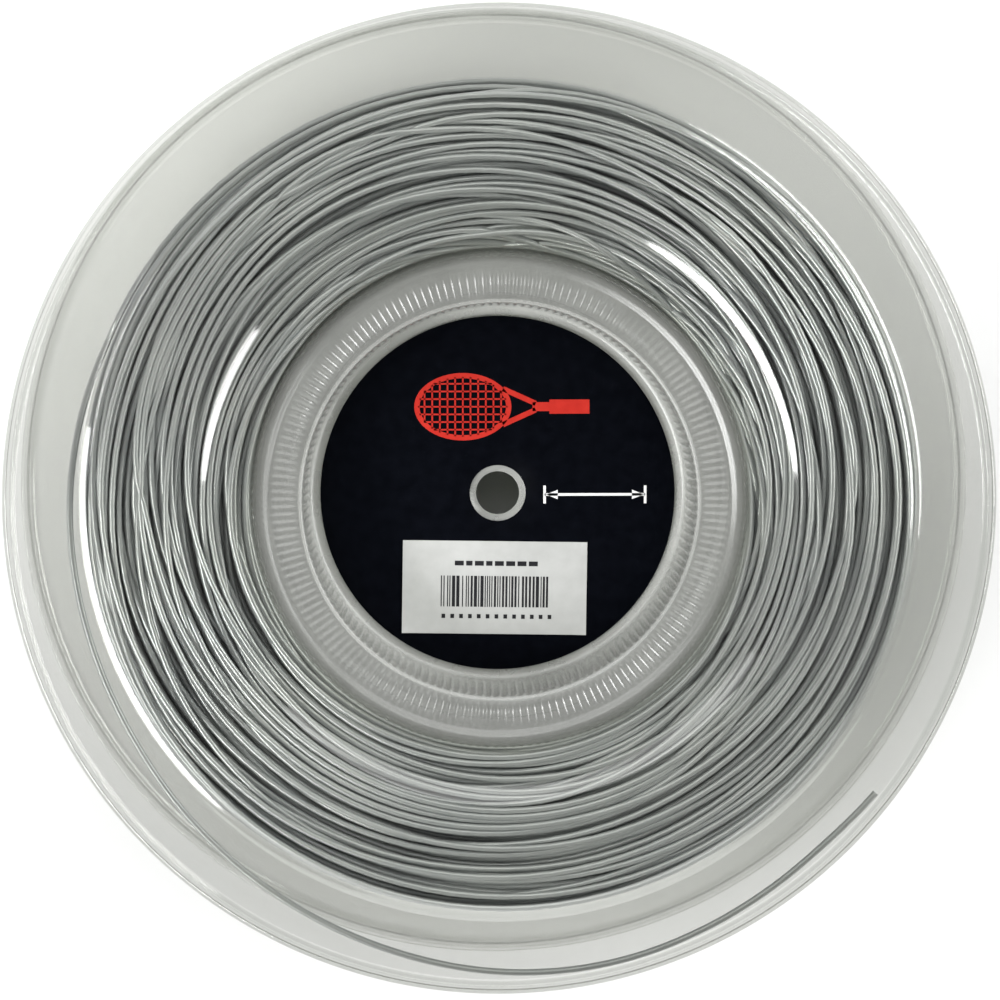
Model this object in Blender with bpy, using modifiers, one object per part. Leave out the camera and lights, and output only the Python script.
"""String reel: two clear formed flanges joined at their webs, a clear drum between them, the wound string with
its loose outer end, and the label with its sticker.

Metres, +Z up. The reel lies flat on its rear rim: the origin is the centre of that rim's resting face, +Z is the
reel's own axis and points out of the labelled front, and +Y is the top of the label."""

import math

import bpy

# Reel
RIM_RADIUS = 0.092
REEL_WIDTH = 0.048
SHEET = 0.0006
GAP = 0.0003
AROUND = 72

# Depths are measured down from the plane of a flange's own rim, radii from the reel's axis.
BEAD_INNER_RADIUS = 0.0896
CREST_RADII = (0.0903, 0.0914)
BEAD_SKIRT = 0.0024
RIM_ZONE_DEPTH = 0.0012
OUTER_STEP_RADII = (0.0762, 0.0782)
MIDDLE_ZONE_DEPTH = 0.0028
INNER_STEP_RADII = (0.0542, 0.0560)
HUB_ZONE_DEPTH = 0.0040
SHELF_OUTER_RADIUS = 0.0428
SHELF_INNER_RADIUS = 0.0378
SHELF_DEPTH = 0.0048
CUP_TOP_RADIUS = 0.0368
CUP_BOTTOM_RADIUS = 0.0356
CUP_CORNER = 0.0008
HOLE_RADIUS = 0.0041

# Drum and winding
DRUM_RADIUS = 0.0463
DRUM_WALL = 0.0006
STRING_DIAMETER = 0.00125
WINDING_INNER_RADIUS = DRUM_RADIUS + GAP
WINDING_OUTER_RADIUS = 0.0779
WINDING_SHOULDER = 0.0024

# Label and sticker
LABEL_RADIUS = 0.0336
LABEL_HOLE_RADIUS = 0.0053
LABEL_THICKNESS = 0.0003
STICKER_SIZE = (0.0350, 0.0177)
STICKER_CENTRE = (-0.0006, -0.0180)
STICKER_THICKNESS = 0.0002
STICKER_TURN = math.radians(-0.8)

# Loose end of the string: angle round the axis from +X in degrees, radius, depth below the front rim plane.
LOOSE_END_ROUTE = (
    (158.0, 0.07850, 0.0074),
    (168.0, 0.07925, 0.0070),
    (180.0, 0.07990, 0.0065),
    (192.0, 0.08030, 0.0059),
    (204.0, 0.08085, 0.0053),
    (214.0, 0.08155, 0.0048),
    (225.0, 0.08280, 0.0044),
    (236.0, 0.08415, 0.0041),
    (247.0, 0.08550, 0.0039),
    (258.0, 0.08690, 0.0037),
    (268.0, 0.08815, 0.0036),
    (277.0, 0.08890, 0.0036),
    (286.0, 0.08920, 0.0036),
    (295.0, 0.08900, 0.0036),
    (304.0, 0.08870, 0.0036),
    (313.0, 0.08850, 0.0037),
    (322.0, 0.08910, 0.0038),
)
LOOSE_END_POINTS = 76

WEB_DEPTH = REEL_WIDTH / 2 - GAP / 2 - SHEET
HALF_CHANNEL = REEL_WIDTH / 2 - HUB_ZONE_DEPTH - SHEET - GAP


def clear_scene():
    for old in list(bpy.data.objects):
        bpy.data.objects.remove(old)


def new_collection(name):
    collection = bpy.data.collections.new(name)
    bpy.context.scene.collection.children.link(collection)
    return collection


def principled(name, colour, roughness, metallic=0.0):
    material = bpy.data.materials.new(name)
    material.use_nodes = True
    shader = material.node_tree.nodes["Principled BSDF"]
    shader.inputs["Base Color"].default_value = (*colour, 1.0)
    shader.inputs["Roughness"].default_value = roughness
    shader.inputs["Metallic"].default_value = metallic
    return material


def profile_object(name, points, closed, collection, material):
    """An outline in the XZ plane, to be turned round Z."""
    mesh = bpy.data.meshes.new(name)
    edges = [(i, i + 1) for i in range(len(points) - 1)]
    if closed:
        edges.append((len(points) - 1, 0))
    mesh.from_pydata([(r, 0.0, z) for r, z in points], edges, [])
    mesh.materials.append(material)
    piece = bpy.data.objects.new(name, mesh)
    collection.objects.link(piece)
    return piece


def turn(piece):
    screw = piece.modifiers.new("Turn", "SCREW")
    screw.axis = "Z"
    screw.angle = math.tau
    screw.steps = AROUND
    screw.render_steps = AROUND
    screw.use_merge_vertices = True
    screw.merge_threshold = 0.00001
    screw.use_smooth_shade = True


def thicken(piece, thickness):
    shell = piece.modifiers.new("Wall", "SOLIDIFY")
    shell.thickness = thickness
    shell.offset = -1.0
    shell.use_even_offset = True


def flange_profile():
    """The flange's outer face from the edge of its hole out to the edge of its rim bead."""
    crest_in, crest_out = CREST_RADII
    return [
        (HOLE_RADIUS, -WEB_DEPTH),
        (CUP_BOTTOM_RADIUS - CUP_CORNER, -WEB_DEPTH),
        (CUP_BOTTOM_RADIUS, -WEB_DEPTH + CUP_CORNER),
        (CUP_TOP_RADIUS, -SHELF_DEPTH),
        (SHELF_INNER_RADIUS, -SHELF_DEPTH),
        (SHELF_OUTER_RADIUS, -HUB_ZONE_DEPTH),
        (INNER_STEP_RADII[0], -HUB_ZONE_DEPTH),
        (INNER_STEP_RADII[1], -MIDDLE_ZONE_DEPTH),
        (OUTER_STEP_RADII[0], -MIDDLE_ZONE_DEPTH),
        (OUTER_STEP_RADII[1], -RIM_ZONE_DEPTH),
        (BEAD_INNER_RADIUS, -RIM_ZONE_DEPTH),
        (crest_in, 0.0),
        (crest_out, 0.0),
        (RIM_RADIUS, -(RIM_RADIUS - crest_out)),
        (RIM_RADIUS, -BEAD_SKIRT),
    ]


def make_flange(name, rim_height, tilt, collection, material):
    """A formed sheet with its rim plane at rim_height, turned over when tilt is pi."""
    flange = profile_object(name, flange_profile(), False, collection, material)
    turn(flange)
    thicken(flange, SHEET)
    flange.location.z = rim_height
    flange.rotation_euler.x = tilt
    return flange


def make_drum(collection, material):
    points = [(DRUM_RADIUS, HALF_CHANNEL), (DRUM_RADIUS, -HALF_CHANNEL)]
    drum = profile_object("hub_sleeve", points, False, collection, material)
    turn(drum)
    thicken(drum, DRUM_WALL)
    drum.location.z = REEL_WIDTH / 2
    return drum


def winding_profile():
    """Half of the wound pack's outline, top to middle; its wider middle zone follows the flange's inner step."""
    wide = REEL_WIDTH / 2 - MIDDLE_ZONE_DEPTH - SHEET - GAP
    return [
        (WINDING_INNER_RADIUS, HALF_CHANNEL),
        (INNER_STEP_RADII[0] - GAP, HALF_CHANNEL),
        (INNER_STEP_RADII[1], wide),
        (WINDING_OUTER_RADIUS - WINDING_SHOULDER, wide),
        (WINDING_OUTER_RADIUS - WINDING_SHOULDER / 3, wide - WINDING_SHOULDER),
        (WINDING_OUTER_RADIUS, wide - 3 * WINDING_SHOULDER),
    ]


def make_winding(collection, material):
    upper = winding_profile()
    lower = [(r, -z) for r, z in reversed(upper)]
    winding = profile_object("string_winding", upper + lower, True, collection, material)
    turn(winding)
    winding.location.z = REEL_WIDTH / 2
    return winding


def spline_value(values, at):
    """Catmull-Rom value at a place between 0 and the last index."""
    last = len(values) - 1
    i = min(int(at), last - 1)
    t = at - i
    p0, p1, p2, p3 = (values[max(0, min(last, i + k))] for k in (-1, 0, 1, 2))
    bend = (2 * p0 - 5 * p1 + 4 * p2 - p3) * t + (3 * p1 - p0 - 3 * p2 + p3) * t * t
    return p1 + 0.5 * t * ((p2 - p0) + bend)


def loose_end_points():
    angles, radii, depths = zip(*LOOSE_END_ROUTE)
    points = []
    for step in range(LOOSE_END_POINTS):
        at = step * (len(LOOSE_END_ROUTE) - 1) / (LOOSE_END_POINTS - 1)
        angle = math.radians(spline_value(angles, at))
        radius = spline_value(radii, at)
        height = REEL_WIDTH - spline_value(depths, at)
        points.append((radius * math.cos(angle), radius * math.sin(angle), height))
    return points


def make_loose_end(collection, material):
    curve = bpy.data.curves.new("string_end", "CURVE")
    curve.dimensions = "3D"
    curve.bevel_depth = STRING_DIAMETER / 2
    curve.bevel_resolution = 2
    curve.use_fill_caps = True
    points = loose_end_points()
    spline = curve.splines.new("POLY")
    spline.points.add(len(points) - 1)
    for place, point in zip(spline.points, points):
        place.co = (*point, 1.0)
    curve.materials.append(material)
    end = bpy.data.objects.new("string_end", curve)
    collection.objects.link(end)
    return end


def make_label(collection, material):
    top = REEL_WIDTH - WEB_DEPTH + GAP + LABEL_THICKNESS
    points = [(LABEL_HOLE_RADIUS, top), (LABEL_RADIUS, top)]
    label = profile_object("label_disc", points, False, collection, material)
    turn(label)
    thicken(label, LABEL_THICKNESS)
    return label


def make_sticker(collection, material):
    bottom = REEL_WIDTH - WEB_DEPTH + 2 * GAP + LABEL_THICKNESS
    bpy.ops.mesh.primitive_cube_add(size=1.0)
    sticker = bpy.context.object
    sticker.name = "code_sticker"
    sticker.data.name = "code_sticker"
    sticker.scale = (*STICKER_SIZE, STICKER_THICKNESS)
    bpy.ops.object.transform_apply(location=False, rotation=False, scale=True)
    sticker.location = (*STICKER_CENTRE, bottom + STICKER_THICKNESS / 2)
    sticker.rotation_euler.z = STICKER_TURN
    sticker.data.materials.append(material)
    for holder in list(sticker.users_collection):
        holder.objects.unlink(sticker)
    collection.objects.link(sticker)
    return sticker


def main():
    clear_scene()
    parts = new_collection("string_reel")
    clear = principled("clear_sheet", (0.80, 0.81, 0.78), 0.12)
    drum = principled("clear_drum", (0.72, 0.73, 0.70), 0.20)
    string = principled("grey_string", (0.36, 0.38, 0.38), 0.35)
    black = principled("black_label", (0.006, 0.008, 0.014), 0.25)
    white = principled("white_sticker", (0.82, 0.82, 0.80), 0.45)
    make_flange("front_flange", REEL_WIDTH, 0.0, parts, clear)
    make_flange("rear_flange", 0.0, math.pi, parts, clear)
    make_drum(parts, drum)
    make_winding(parts, string)
    make_loose_end(parts, string)
    make_label(parts, black)
    make_sticker(parts, white)


main()
